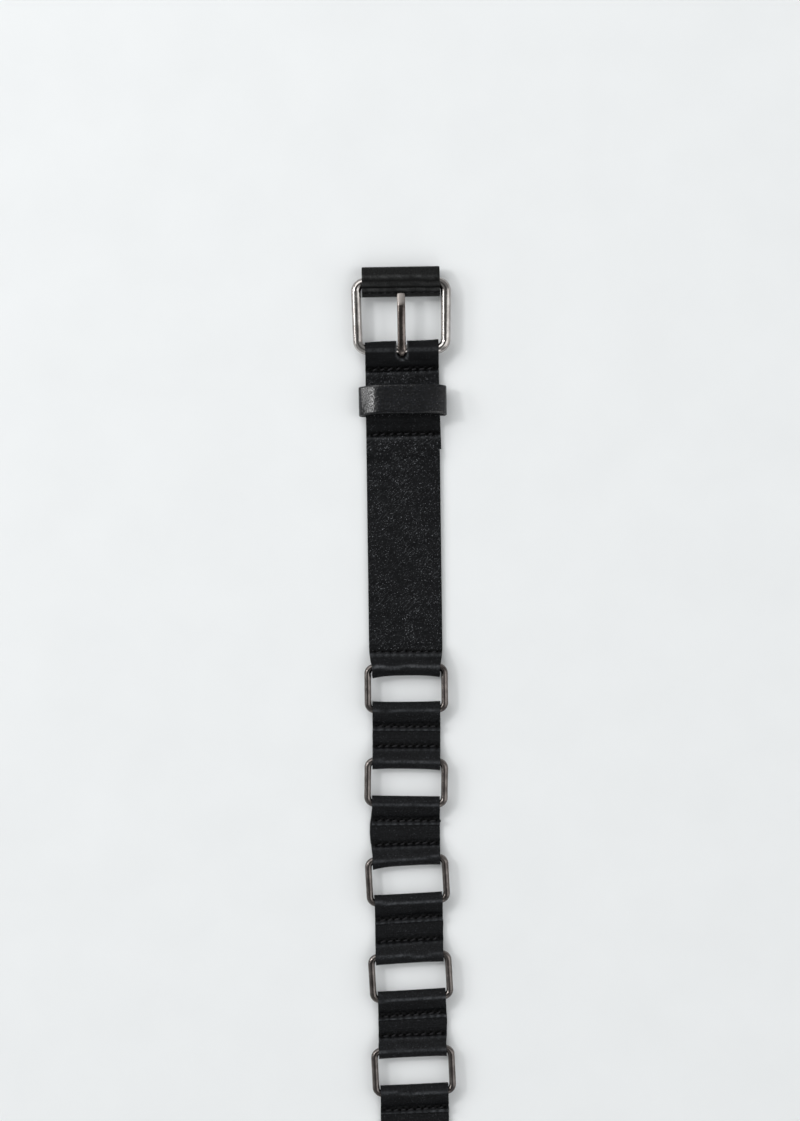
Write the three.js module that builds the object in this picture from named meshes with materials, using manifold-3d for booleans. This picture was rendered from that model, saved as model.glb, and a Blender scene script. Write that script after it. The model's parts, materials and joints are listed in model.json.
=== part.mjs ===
// A leather ring belt, 30 mm wide and about 0.95 m long, that lies open and face up on a flat surface.
// A buckle end, a run of wire rings joined by short leather links, and a punched end that goes through
// the buckle. X runs across the belt, +Y along it to the buckle, +Z out of its face. Millimetres.

import * as THREE from "three";
import { mergeVertices } from "three/addons/utils/BufferGeometryUtils.js";
import Module from "manifold-3d";

const wasm = await Module();
wasm.setup();

// Leather
const LEATHER = 1.6; // one layer
const PLY_GAP = 0.2; // between two layers that are sewn together
const STRAP_WIDTH = 30;
const LINK_WIDTH = 27.7;
const FLAP_LENGTH = 12; // from a fold's edge to the cut end that is sewn down
const FLAP_SEAM = 3.2; // how much of a flap lies flat
const CLEARANCE = 0.3; // round a wire in its fold or its eye

// Rings
const RING_COUNT = 16;
const RING_WIRE = 2.75;
const RING_SIDE_GAP = 0.45; // from a link's edge to the ring's leg
const RING_WINDOW = 10.85; // open length between the two folds in a ring
const RING_CORNER = 2.7; // on the wire's centreline
const LINK_LENGTH = 28.2; // from fold to fold

// Buckle
const FRAME_WIRE = 3.9;
const FRAME_SIDE_GAP = 0.9; // from the strap's edge to the frame's leg, at the pivot
const FRAME_FLARE = 1.2; // how much wider the frame is at its upper bar
const FRAME_BAR_SPACING = 27.5; // between the centrelines of the two bars
const FRAME_CORNER = 3.7; // on the wire's centreline
const SLEEVE_WIDTH = 31.8;
const SLEEVE_ABOVE = 6.3; // from the bar's centreline to the fold
const SLEEVE_BELOW = 5.95; // from the bar's centreline to the cut ends
const SLEEVE_SEAM = 2.1; // how much of the sleeve lies flat below the bar
const SLEEVE_FOLD = 2.2; // outer radius of the fold
const TONGUE_WIDTH = 3.3;
const TONGUE_THICKNESS = 2.2;
const TONGUE_TIP = 1.6; // thickness at the end of the flattened tip
const TONGUE_TIP_LENGTH = 4.8;
const TONGUE_ARCH = 0.2; // how far the arm's underside rises over its tip's
const TONGUE_EYE_WALL = 1.2;
const TONGUE_REST = 1.25; // how far the tip lies on the sleeve
const TONGUE_BEVEL = 0.4;
const SLOT_SIDE_GAP = 0.5; // from the tongue to the slot's side
const SLOT_REACH = 4.2; // from the pivot to the slot's closed end

// Front strap, measured from the pivot
const TURN_BACK = 40.7; // the layer under the strap
const STRAP_LENGTH = 132.9; // to the fold that holds the first ring
const KEEPER_FROM = 15.6; // at its back
const KEEPER_WIDTH = 11.8;
const KEEPER_LEAN = 10; // degrees that its front leans towards the buckle
const KEEPER_BAND = 1.4;
const KEEPER_SIDE_GAP = 1.55; // from the strap's edge to the inside of the keeper
const KEEPER_SLACK = 0.6; // over a second strap
const KEEPER_CORNER = 3.3; // outer
const EASE = 3.4; // length of the slope where the strap climbs over a layer

// Punched end
const TIP_LENGTH = 185; // from the fold that holds the last ring to the point
const TIP_TAPER = 22;
const TIP_ROUNDNESS = 0.45; // 0 is pointed and 1 square
const HOLE_COUNT = 5;
const HOLE_PITCH = 25;
const HOLE_FROM_TIP = 45;
const HOLE_SIDE_GAP = 0.45; // from the tongue to the hole's wall

// How the rings in view lie. Shift is to +X as a share of the link's width, creep is to +Y as a share
// of the ring's window, and turn is in degrees about +Z. Every other ring lies straight and evenly.
const LAY = [
  { ring: 1, shift: -0.016, creep: 0.012, turn: -0.3 },
  { ring: 2, shift: -0.04, creep: 0.065, turn: -1.6 },
  { ring: 3, shift: -0.043, creep: -0.01, turn: 2.3 },
  { ring: 4, shift: -0.019, creep: -0.04, turn: 2.5 },
  { ring: 5, shift: 0.002, creep: 0.012, turn: 1.8 },
];

// Facets
const CURVE_STEPS = 5; // an arc gets twice as many
const RING_SIDES = 8;
const FRAME_SIDES = 12;
const CORNER_STEPS = 4;
const MERGE = 1e-4; // points closer than this are one point
const CUT_MARGIN = 1; // how far a cutting outline runs past what it cuts

const black = new THREE.MeshStandardMaterial({ color: 0x17171a, roughness: 0.55 });
const smoothBlack = new THREE.MeshStandardMaterial({ color: 0x1b1c21, roughness: 0.38 });
const metal = new THREE.MeshStandardMaterial({ color: 0x8a8480, roughness: 0.25, metalness: 1 });

// Heights over the table and the wires that the leather goes round
const WALL = LEATHER / 2; // half a layer, from its middle to its face
const FIRST_LAYER = WALL;
const SECOND_LAYER = LEATHER + PLY_GAP + WALL;
const wireBar = (wire) => ({
  bend: wire / 2 + CLEARANCE + WALL, // of the layer's middle round the wire
  height: wire / 2 + CLEARANCE + LEATHER, // of the wire's centreline over the table
});
const RING_BAR = wireBar(RING_WIRE);
const FRAME_BAR = wireBar(FRAME_WIRE);
const FOLD = RING_BAR.bend + WALL; // from a ring bar's centreline to the edge of the fold round it

// Places along the belt
const RING_HALF_SPACING = RING_WINDOW / 2 + FOLD;
const RING_PITCH = 2 * RING_HALF_SPACING + LINK_LENGTH - 2 * FOLD;
const FIRST_RING = -(STRAP_LENGTH - FOLD) - RING_HALF_SPACING;

const radians = (degrees) => (degrees * Math.PI) / 180;

// Joins and cuts
function solid(geometry) {
  const bare = geometry.clone();
  for (const name of Object.keys(bare.attributes)) {
    if (name !== "position") bare.deleteAttribute(name);
  }
  const merged = mergeVertices(bare, MERGE);
  return new wasm.Manifold(
    new wasm.Mesh({
      numProp: 3,
      vertProperties: new Float32Array(merged.attributes.position.array),
      triVerts: new Uint32Array(merged.index.array),
    }),
  );
}

function geometryOf(manifold) {
  const mesh = manifold.getMesh();
  const geometry = new THREE.BufferGeometry();
  geometry.setAttribute("position", new THREE.BufferAttribute(mesh.vertProperties, 3));
  geometry.setIndex(new THREE.BufferAttribute(mesh.triVerts, 1));
  geometry.computeVertexNormals();
  return geometry;
}

// Angle at which the straight from a point touches a circle, on the side of the circle that is given:
// 1 is left and -1 right of the line from the centre to the point.
function touchAngle(centre, radius, point, side) {
  const along = point.clone().sub(centre);
  return along.angle() + side * Math.acos(radius / along.length());
}

// A layer of leather seen from its edge: its middle line's path, widened by half a layer to both sides.
function layerShape(path) {
  const points = path.getPoints(CURVE_STEPS);
  const middle = points.filter((p, i) => i === 0 || p.distanceTo(points[i - 1]) > MERGE);
  const normals = middle.slice(1).map((p, i) => {
    const run = p.clone().sub(middle[i]).normalize();
    return new THREE.Vector2(-run.y, run.x);
  });
  const side = (sign) =>
    middle.map((p, i) => {
      const before = normals[Math.max(i - 1, 0)];
      const after = normals[Math.min(i, normals.length - 1)];
      const mitre = before.clone().add(after).normalize();
      return p.clone().addScaledVector(mitre, (sign * WALL) / mitre.dot(before));
    });
  return new THREE.Shape([...side(1), ...side(-1).reverse()]);
}

// Extrudes a side view, drawn as (Y, Z), across the belt.
function across(shape, width, options = {}) {
  const geometry = new THREE.ExtrudeGeometry(shape, { depth: width, bevelEnabled: false, ...options });
  const turn = new THREE.Matrix4().set(0, 0, 1, -width / 2, 1, 0, 0, 0, 0, 1, 0, 0, 0, 0, 0, 1);
  return geometry.applyMatrix4(turn);
}

// Cuts leather to a plan view, drawn as (X, Y).
function cutToPlan(geometry, plan) {
  geometry.computeBoundingBox();
  const { min, max } = geometry.boundingBox;
  const prism = new THREE.ExtrudeGeometry(plan, {
    depth: max.z - min.z + 2 * CUT_MARGIN,
    bevelEnabled: false,
    curveSegments: CURVE_STEPS,
  });
  prism.translate(0, 0, min.z - CUT_MARGIN);
  return geometryOf(solid(geometry).intersect(solid(prism)));
}

// Where a ring's bar lies: side 1 is the bar nearer the buckle, and -1 the other.
function ringLay(number) {
  const row = LAY.find((entry) => entry.ring === number) ?? { shift: 0, creep: 0, turn: 0 };
  return {
    x: row.shift * LINK_WIDTH,
    y: FIRST_RING - (number - 1) * RING_PITCH + row.creep * RING_WINDOW,
    turn: radians(row.turn),
  };
}

function barOfRing(number, side) {
  const { x, y, turn } = ringLay(number);
  const reach = side * RING_HALF_SPACING;
  return { x: x - reach * Math.sin(turn), y: y + reach * Math.cos(turn), turn };
}

// Bends straight leather that runs from one bar to another so that each end lies square to its bar.
function layBetween(geometry, upper, lower) {
  const position = geometry.attributes.position;
  for (let i = 0; i < position.count; i += 1) {
    const x = position.getX(i);
    const y = position.getY(i);
    const along = THREE.MathUtils.clamp(y, lower.y, upper.y);
    const share = (upper.y - along) / (upper.y - lower.y);
    const turn = THREE.MathUtils.lerp(upper.turn, lower.turn, share);
    const shift = THREE.MathUtils.lerp(upper.x, lower.x, share);
    const past = y - along;
    position.setX(i, shift + x * Math.cos(turn) - past * Math.sin(turn));
    position.setY(i, along + x * Math.sin(turn) + past * Math.cos(turn));
  }
  geometry.computeVertexNormals();
  return geometry;
}

// Leather goes under a ring's bar, round it and back down on top of itself, where its cut end is sewn.
// Side 1 folds towards the buckle. The flap ends at the cut end.
function flapEnds(barY, side) {
  const cut = barY + side * (FOLD - FLAP_LENGTH);
  return { cut, flat: cut + side * FLAP_SEAM };
}

function foldOntoTop(path, barY, side) {
  const centre = new THREE.Vector2(barY, RING_BAR.height);
  const { cut, flat } = flapEnds(barY, side);
  const touch = touchAngle(centre, RING_BAR.bend, new THREE.Vector2(flat, SECOND_LAYER), -side);
  path.lineTo(barY, FIRST_LAYER);
  path.absarc(barY, RING_BAR.height, RING_BAR.bend, -Math.PI / 2, touch, side < 0);
  path.lineTo(flat, SECOND_LAYER);
  path.lineTo(cut, SECOND_LAYER);
}

function foldFromTop(path, barY, side) {
  const centre = new THREE.Vector2(barY, RING_BAR.height);
  const { cut, flat } = flapEnds(barY, side);
  const touch = touchAngle(centre, RING_BAR.bend, new THREE.Vector2(flat, SECOND_LAYER), -side);
  path.moveTo(cut, SECOND_LAYER);
  path.lineTo(flat, SECOND_LAYER);
  path.absarc(barY, RING_BAR.height, RING_BAR.bend, touch, -Math.PI / 2, side > 0);
}

// A smooth slope from the path's end.
function slopeTo(path, y, z) {
  const from = path.currentPoint;
  const half = (y - from.x) / 2;
  path.bezierCurveTo(from.x + half, from.y, y - half, z, y, z);
}

// A closed wire in the belt's plane: a rectangle with round corners. Its corners have even steps and
// each straight side is one step.
class WireLoop extends THREE.Curve {
  constructor(width, length, corner) {
    super();
    this.halfWidth = width / 2 - corner;
    this.halfLength = length / 2 - corner;
    this.corner = corner;
  }

  getUtoTmapping(u) {
    return u;
  }

  getPoint(t, target = new THREE.Vector3()) {
    const stepsPerCorner = CORNER_STEPS + 1;
    const step = (t % 1) * 4 * stepsPerCorner;
    const corner = Math.floor(step / stepsPerCorner + MERGE) % 4;
    const within = step - corner * stepsPerCorner;
    const onArc = Math.min(within, CORNER_STEPS);
    const onSide = Math.max(within - CORNER_STEPS, 0);
    const start = this.cornerPoint(corner, onArc / CORNER_STEPS);
    return target.copy(start).lerp(this.cornerPoint((corner + 1) % 4, 0), onSide);
  }

  cornerPoint(corner, share) {
    const angle = ((corner + share) * Math.PI) / 2;
    const signX = corner === 0 || corner === 3 ? 1 : -1;
    const signY = corner < 2 ? 1 : -1;
    return new THREE.Vector3(
      signX * this.halfWidth + this.corner * Math.cos(angle),
      signY * this.halfLength + this.corner * Math.sin(angle),
      0,
    );
  }
}

function wireLoop(width, length, corner, wire, sides) {
  const loop = new WireLoop(width, length, corner);
  const steps = 4 * (CORNER_STEPS + 1);
  return new THREE.TubeGeometry(loop, steps, wire / 2, sides, true);
}

const belt = new THREE.Group();

function add(name, geometry, material, parent = belt) {
  const mesh = new THREE.Mesh(geometry, material);
  mesh.name = name;
  parent.add(mesh);
  return mesh;
}

// Front strap: one piece of leather. Its one end is turned back under the buckle's bar, and its other
// end is turned over the first ring's bar onto its own face.
function frontStrap() {
  const raised = LEATHER + KEEPER_BAND + 2 * CLEARANCE + WALL;
  const keeperTo = KEEPER_FROM + KEEPER_WIDTH;
  const firstBar = barOfRing(1, 1).y;
  const downOnLayer = -(FRAME_BAR.bend + EASE + WALL);
  const pivot = new THREE.Vector2(0, FRAME_BAR.height);
  const touch = touchAngle(pivot, FRAME_BAR.bend, new THREE.Vector2(downOnLayer, SECOND_LAYER), -1);

  const path = new THREE.Path();
  path.moveTo(-TURN_BACK, FIRST_LAYER);
  path.lineTo(0, FIRST_LAYER);
  path.absarc(0, FRAME_BAR.height, FRAME_BAR.bend, -Math.PI / 2, touch, false);
  path.lineTo(downOnLayer, SECOND_LAYER);
  path.lineTo(-(KEEPER_FROM - CLEARANCE - EASE), SECOND_LAYER);
  slopeTo(path, -(KEEPER_FROM - CLEARANCE), raised);
  path.lineTo(-(keeperTo + CLEARANCE), raised);
  slopeTo(path, -(keeperTo + CLEARANCE + EASE), SECOND_LAYER);
  path.lineTo(-(TURN_BACK + CLEARANCE), SECOND_LAYER);
  slopeTo(path, -(TURN_BACK + CLEARANCE + EASE), FIRST_LAYER);
  path.lineTo(flapEnds(firstBar, -1).cut, FIRST_LAYER);
  foldOntoTop(path, firstBar, -1);

  const strap = across(layerShape(path), STRAP_WIDTH);
  narrowToFold(strap, firstBar, -1);
  layBetween(strap, { x: 0, y: 0, turn: 0 }, barOfRing(1, 1));
  return cutToPlan(strap, slotPlan());
}

// Narrows a strap to a link's width from its flap's cut end to the ring's bar, faster towards the bar.
function narrowToFold(geometry, barY, side) {
  const position = geometry.attributes.position;
  const { cut } = flapEnds(barY, side);
  for (let i = 0; i < position.count; i += 1) {
    const share = THREE.MathUtils.clamp((position.getY(i) - cut) / (barY - cut), 0, 1);
    const width = THREE.MathUtils.lerp(STRAP_WIDTH, LINK_WIDTH, share ** 2);
    position.setX(i, (position.getX(i) * width) / STRAP_WIDTH);
  }
}

// The whole strap's plan less the slot that lets the tongue through the fold.
function slotPlan() {
  const half = TONGUE_WIDTH / 2 + SLOT_SIDE_GAP;
  const far = FRAME_BAR.height + CUT_MARGIN;
  const side = STRAP_WIDTH;
  const plan = new THREE.Shape();
  plan.moveTo(half, far);
  plan.lineTo(half, -(SLOT_REACH - half));
  plan.absarc(0, -(SLOT_REACH - half), half, 0, Math.PI, true);
  plan.lineTo(-half, far);
  plan.lineTo(-side, far);
  plan.lineTo(-side, -STRAP_LENGTH - CUT_MARGIN);
  plan.lineTo(side, -STRAP_LENGTH - CUT_MARGIN);
  plan.lineTo(side, far);
  return plan;
}

// Keeper: a closed band round the strap's face layer, with room on top for the belt's free end.
function keeper() {
  const bottom = LEATHER + CLEARANCE;
  const room = CLEARANCE + LEATHER + CLEARANCE + LEATHER + KEEPER_SLACK;
  const innerHalf = STRAP_WIDTH / 2 + KEEPER_SIDE_GAP;
  const band = roundedRectangle(
    innerHalf + KEEPER_BAND,
    bottom,
    bottom + room + 2 * KEEPER_BAND,
    KEEPER_CORNER,
  );
  const inside = roundedRectangle(
    innerHalf,
    bottom + KEEPER_BAND,
    bottom + KEEPER_BAND + room,
    KEEPER_CORNER - KEEPER_BAND,
  );
  band.holes.push(inside);
  const geometry = new THREE.ExtrudeGeometry(band, {
    depth: KEEPER_WIDTH,
    bevelEnabled: false,
    curveSegments: CURVE_STEPS,
  });
  geometry.rotateX(Math.PI / 2);
  const lean = new THREE.Matrix4().makeShear(0, 0, 0, 0, 0, Math.tan(radians(KEEPER_LEAN)));
  geometry.translate(0, 0, -bottom);
  geometry.applyMatrix4(lean);
  geometry.translate(0, -KEEPER_FROM, bottom);
  return geometry;
}

function roundedRectangle(half, bottom, top, corner) {
  const shape = new THREE.Shape();
  shape.moveTo(half, bottom + corner);
  shape.absarc(half - corner, top - corner, corner, 0, Math.PI / 2, false);
  shape.absarc(-half + corner, top - corner, corner, Math.PI / 2, Math.PI, false);
  shape.absarc(-half + corner, bottom + corner, corner, Math.PI, (3 * Math.PI) / 2, false);
  shape.absarc(half - corner, bottom + corner, corner, (3 * Math.PI) / 2, 2 * Math.PI, false);
  return shape;
}

// Buckle frame: one closed wire. Its lower bar is the pivot at Y 0.
function buckleFrame() {
  const width = STRAP_WIDTH + 2 * FRAME_SIDE_GAP + FRAME_WIRE;
  const frame = wireLoop(width, FRAME_BAR_SPACING, FRAME_CORNER, FRAME_WIRE, FRAME_SIDES);
  frame.translate(0, FRAME_BAR_SPACING / 2, FRAME_BAR.height);
  const position = frame.attributes.position;
  for (let i = 0; i < position.count; i += 1) {
    const share = position.getY(i) / FRAME_BAR_SPACING;
    position.setX(i, position.getX(i) * (1 + (share * FRAME_FLARE) / width));
  }
  frame.computeVertexNormals();
  return frame;
}

// Sleeve: leather folded loosely over the frame's upper bar, with both cut ends sewn together below it.
function sleeve() {
  const bar = new THREE.Vector2(FRAME_BAR_SPACING, FRAME_BAR.height);
  const foldRadius = SLEEVE_FOLD - WALL;
  const foldY = SLEEVE_ABOVE - SLEEVE_FOLD;
  const flat = -(SLEEVE_BELOW - SLEEVE_SEAM);
  const apart = PLY_GAP / 2 + WALL;
  const lean = Math.PI / 2 - Math.asin((FRAME_BAR.bend - foldRadius) / foldY);
  const touch = touchAngle(new THREE.Vector2(), FRAME_BAR.bend, new THREE.Vector2(flat, apart), -1);

  const path = new THREE.Path();
  path.moveTo(bar.x - SLEEVE_BELOW, bar.y - apart);
  path.lineTo(bar.x + flat, bar.y - apart);
  path.absarc(bar.x, bar.y, FRAME_BAR.bend, -touch, -lean, false);
  path.absarc(bar.x + foldY, bar.y, foldRadius, -lean, lean, false);
  path.absarc(bar.x, bar.y, FRAME_BAR.bend, lean, touch, false);
  path.lineTo(bar.x + flat, bar.y + apart);
  path.lineTo(bar.x - SLEEVE_BELOW, bar.y + apart);
  return across(layerShape(path), SLEEVE_WIDTH);
}

// Tongue: a flattened prong with an eye round the frame's lower bar. Its tip lies on the sleeve.
function tongue() {
  const pivotZ = FRAME_BAR.height;
  const eyeInner = FRAME_WIRE / 2 + CLEARANCE;
  const eyeOuter = eyeInner + TONGUE_EYE_WALL;
  const tipY = FRAME_BAR_SPACING - SLEEVE_BELOW + TONGUE_REST;
  const tipUnder = pivotZ + PLY_GAP / 2 + LEATHER + CLEARANCE;
  const armUnder = tipUnder + TONGUE_ARCH;
  const armTop = armUnder + TONGUE_THICKNESS;
  const bendY = tipY - TONGUE_TIP_LENGTH;
  const rootUnder = pivotZ + eyeOuter - TONGUE_THICKNESS;
  const joint = Math.asin((rootUnder - pivotZ) / eyeOuter);

  const shape = new THREE.Shape();
  shape.moveTo(0, pivotZ + eyeOuter);
  shape.quadraticCurveTo(bendY / 2, armTop, bendY, armTop);
  shape.lineTo(tipY, tipUnder + TONGUE_TIP);
  shape.lineTo(tipY, tipUnder);
  shape.lineTo(bendY, armUnder);
  shape.lineTo(eyeOuter * Math.cos(joint), rootUnder);
  shape.absarc(0, pivotZ, eyeOuter, joint, Math.PI / 2, true);
  const eye = new THREE.Path();
  eye.absarc(0, pivotZ, eyeInner, 0, 2 * Math.PI, false);
  shape.holes.push(eye);
  return across(shape, TONGUE_WIDTH - 2 * TONGUE_BEVEL, {
    bevelEnabled: true,
    bevelSize: TONGUE_BEVEL,
    bevelOffset: -TONGUE_BEVEL,
    bevelThickness: TONGUE_BEVEL,
    bevelSegments: 2,
    curveSegments: CURVE_STEPS,
  });
}

// Ring: one closed wire through the folds of the leather on its two sides.
function ring(number) {
  const width = LINK_WIDTH + 2 * RING_SIDE_GAP + RING_WIRE;
  const { x, y, turn } = ringLay(number);
  const mesh = add(
    `ring_${String(number).padStart(2, "0")}`,
    wireLoop(width, 2 * RING_HALF_SPACING, RING_CORNER, RING_WIRE, RING_SIDES),
    metal,
  );
  mesh.position.set(x, y, RING_BAR.height);
  mesh.rotation.z = turn;
}

// Link: a short strip whose two ends are folded round two rings and sewn down on its face, with a
// narrow gap between them.
function link(number) {
  const upper = barOfRing(number, -1);
  const lower = barOfRing(number + 1, 1);
  const path = new THREE.Path();
  foldFromTop(path, upper.y, 1);
  foldOntoTop(path, lower.y, -1);
  const geometry = across(layerShape(path), LINK_WIDTH);
  add(`link_${String(number).padStart(2, "0")}`, layBetween(geometry, upper, lower), black);
}

// Punched end: a strap with one end folded round the last ring, five holes and a blunt point.
function punchedEnd() {
  const bar = barOfRing(RING_COUNT, -1);
  const end = bar.y + FOLD - TIP_LENGTH;
  const path = new THREE.Path();
  foldFromTop(path, bar.y, 1);
  path.lineTo(flapEnds(bar.y, 1).cut, FIRST_LAYER);
  path.lineTo(end, FIRST_LAYER);
  const strap = across(layerShape(path), STRAP_WIDTH);
  narrowToFold(strap, bar.y, 1);

  const half = STRAP_WIDTH / 2;
  const outside = half + CUT_MARGIN;
  const shoulder = end + TIP_TAPER;
  const handle = shoulder - TIP_TAPER * TIP_ROUNDNESS;
  const plan = new THREE.Shape();
  plan.moveTo(outside, bar.y + FOLD + CUT_MARGIN);
  plan.lineTo(-outside, bar.y + FOLD + CUT_MARGIN);
  plan.lineTo(-outside, shoulder);
  plan.lineTo(-half, shoulder);
  plan.bezierCurveTo(-half, handle, -half * TIP_ROUNDNESS, end, 0, end);
  plan.bezierCurveTo(half * TIP_ROUNDNESS, end, half, handle, half, shoulder);
  plan.lineTo(outside, shoulder);
  for (let i = 0; i < HOLE_COUNT; i += 1) {
    const hole = new THREE.Path();
    const y = end + HOLE_FROM_TIP + i * HOLE_PITCH;
    hole.absarc(0, y, TONGUE_WIDTH / 2 + HOLE_SIDE_GAP, 0, 2 * Math.PI, false);
    plan.holes.push(hole);
  }
  return { geometry: cutToPlan(strap, plan), end };
}

add("front_strap", frontStrap(), black);
add("keeper", keeper(), smoothBlack);
add("buckle_frame", buckleFrame(), metal);
add("bar_sleeve", sleeve(), black);
add("buckle_tongue", tongue(), metal);
for (let number = 1; number <= RING_COUNT; number += 1) {
  ring(number);
  if (number < RING_COUNT) link(number);
}
const tip = punchedEnd();
add("punched_end", tip.geometry, black);

// The origin is on the table, under the middle of the belt's length.
belt.position.y = -(FRAME_BAR_SPACING + SLEEVE_ABOVE + tip.end) / 2;

const model = new THREE.Group();
model.name = "ring_belt";
model.add(belt);
export default model;
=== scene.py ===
import json
import math
import random
from bisect import bisect_right

import bmesh
import bpy
from mathutils import Matrix, Vector, noise


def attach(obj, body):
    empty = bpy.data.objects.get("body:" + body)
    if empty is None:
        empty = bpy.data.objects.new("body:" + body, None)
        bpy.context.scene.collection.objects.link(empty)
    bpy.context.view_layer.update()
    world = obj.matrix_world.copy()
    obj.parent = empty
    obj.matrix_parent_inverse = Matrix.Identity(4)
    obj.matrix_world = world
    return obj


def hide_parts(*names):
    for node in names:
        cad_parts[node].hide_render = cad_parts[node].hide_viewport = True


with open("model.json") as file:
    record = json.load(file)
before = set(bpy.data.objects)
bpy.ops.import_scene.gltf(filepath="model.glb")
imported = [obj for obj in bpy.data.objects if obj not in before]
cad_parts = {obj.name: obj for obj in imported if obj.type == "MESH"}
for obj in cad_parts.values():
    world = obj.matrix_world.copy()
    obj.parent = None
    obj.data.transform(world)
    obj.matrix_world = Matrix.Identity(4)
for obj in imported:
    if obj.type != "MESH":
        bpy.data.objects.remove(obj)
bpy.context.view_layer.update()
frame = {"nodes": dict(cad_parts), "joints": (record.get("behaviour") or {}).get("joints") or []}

# Camera. The belt lies face up and the camera looks straight down on its buckle end, turned a
# little, from far enough away for an almost flat view.
CAMERA_HEIGHT = 1.3
VIEW_LENGTH = 0.4576  # what the picture's long side covers at the belt
VIEW_CENTRE = (-0.00214, 0.3543, 0.003)
VIEW_TURN = -0.926  # degrees

camera_data = bpy.data.cameras.new("camera")
camera_data.lens = camera_data.sensor_width * CAMERA_HEIGHT / VIEW_LENGTH
camera = bpy.data.objects.new("camera", camera_data)
camera.location = Vector(VIEW_CENTRE) + Vector((0, 0, CAMERA_HEIGHT))
camera.rotation_euler = (0, 0, math.radians(VIEW_TURN))
scene = bpy.context.scene
scene.collection.objects.link(camera)
scene.camera = camera
scene.view_settings.view_transform = "Standard"


# Table top. A smooth off-white board that is bigger than anything the camera sees, with a very
# faint mottle.
class Signal:
    """What a node gives out. Arithmetic on it adds Math nodes."""

    def __init__(self, shading, socket):
        self.shading = shading
        self.socket = socket

    def maths(self, operation, *values):
        return self.shading.node("Math", {"operation": operation}, *values)

    def __add__(self, other):
        return self.maths("ADD", self, other)

    def __sub__(self, other):
        return self.maths("SUBTRACT", self, other)

    def __rsub__(self, other):
        return self.maths("SUBTRACT", other, self)

    def __mul__(self, other):
        return self.maths("MULTIPLY", self, other)

    __radd__ = __add__
    __rmul__ = __mul__

    def between(self, low, high):
        """0 up to low, 1 from high on, and a smooth step between them."""
        settings = {"interpolation_type": "SMOOTHSTEP"}
        return self.shading.node("MapRange", settings, Value=self, From_Min=low, From_Max=high)


class Shading:
    """A tree of nodes, built up round the shader that it ends in."""

    def __init__(self, owner, shader):
        owner.use_nodes = True
        self.tree = owner.node_tree
        self.shader = self.tree.nodes[shader]

    def node(self, kind, settings, *in_order, output=None, **named):
        """Adds a node, fills its sockets in their order or by name, and gives what it puts out."""
        node = self.tree.nodes.new("ShaderNode" + kind)
        for setting, value in settings.items():
            setattr(node, setting, value)
        sockets = [socket for socket in node.inputs if socket.enabled]
        for socket, value in zip(sockets, in_order):
            self.join(socket, value)
        for name, value in named.items():
            self.join(next(s for s in sockets if s.name == name.replace("_", " ")), value)
        outputs = [socket for socket in node.outputs if socket.enabled]
        return Signal(self, next(s for s in outputs if output in (None, s.name)))

    def join(self, socket, value):
        if isinstance(value, Signal):
            self.tree.links.new(value.socket, socket)
        else:
            socket.default_value = value

    def give(self, **named):
        """Sets or links sockets of the shader itself."""
        for name, value in named.items():
            self.join(self.shader.inputs[name.replace("_", " ")], value)


class Finish(Shading):
    """A material, with patterns that are laid out in object coordinates."""

    def __init__(self, name, **fixed):
        self.material = bpy.data.materials.new(name)
        super().__init__(self.material, "Principled BSDF")
        self.place = self.node("TexCoord", {}, output="Object")
        self.give(**fixed)

    def stretched(self, size, turn=0.0):
        """Object coordinates in which a pattern of scale 1 has this size, in metres, along each axis."""
        settings = {"vector_type": "TEXTURE"}
        turned = (0, 0, math.radians(turn))
        return self.node("Mapping", settings, Vector=self.place, Rotation=turned, Scale=size)

    def speckle(self, size, detail=2.0, turn=0.0, seed=0.0):
        """Noise from 0 to 1 whose lumps have this size."""
        lumps = self.stretched(size if hasattr(size, "__len__") else (size,) * 3, turn)
        shifted = self.node("VectorMath", {"operation": "ADD"}, lumps, (seed, seed, seed))
        return self.node("TexNoise", {}, output="Fac", Vector=shifted, Scale=1.0, Detail=detail)

    def blend(self, factor, first, second):
        """A colour between two colours."""
        return self.node("Mix", {"data_type": "RGBA"}, Factor=factor, A=first, B=second)

    def painted(self, name):
        """A value that the mesh carries at its points, or 0 where it has none."""
        return self.node("Attribute", {"attribute_name": name}, output="Fac")

    def bump(self, height, depth, **more):
        """Relief from a height of 0 to 1 that stands for this depth in metres."""
        return self.node("Bump", {}, Strength=1.0, Distance=depth, Height=height, **more)


def shade(red, green, blue):
    """A colour from values of 0 to 255 as a screen shows them."""
    return [((value / 255 + 0.055) / 1.055) ** 2.4 for value in (red, green, blue)] + [1.0]


def make_object(mesh, name, materials):
    """Puts a finished mesh in the scene with these materials."""
    data = bpy.data.meshes.new(name)
    mesh.to_mesh(data)
    mesh.free()
    for material in materials:
        data.materials.append(material)
    made = bpy.data.objects.new(name, data)
    scene.collection.objects.link(made)
    return made


FLOOR_SIZE = 6.0
FLOOR_DROP = 0.00002

board = Finish("off_white_board", Roughness=0.9, Specular_IOR_Level=0.1)
mottle = board.speckle(0.03, detail=4)
board.give(Base_Color=board.blend(mottle, shade(235, 237, 238), shade(241, 243, 244)))

mesh = bmesh.new()
bmesh.ops.create_grid(mesh, x_segments=1, y_segments=1, size=FLOOR_SIZE / 2)
bmesh.ops.translate(mesh, verts=mesh.verts, vec=(0, 0, -FLOOR_DROP))
floor = make_object(mesh, "floor", [board.material])


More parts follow.
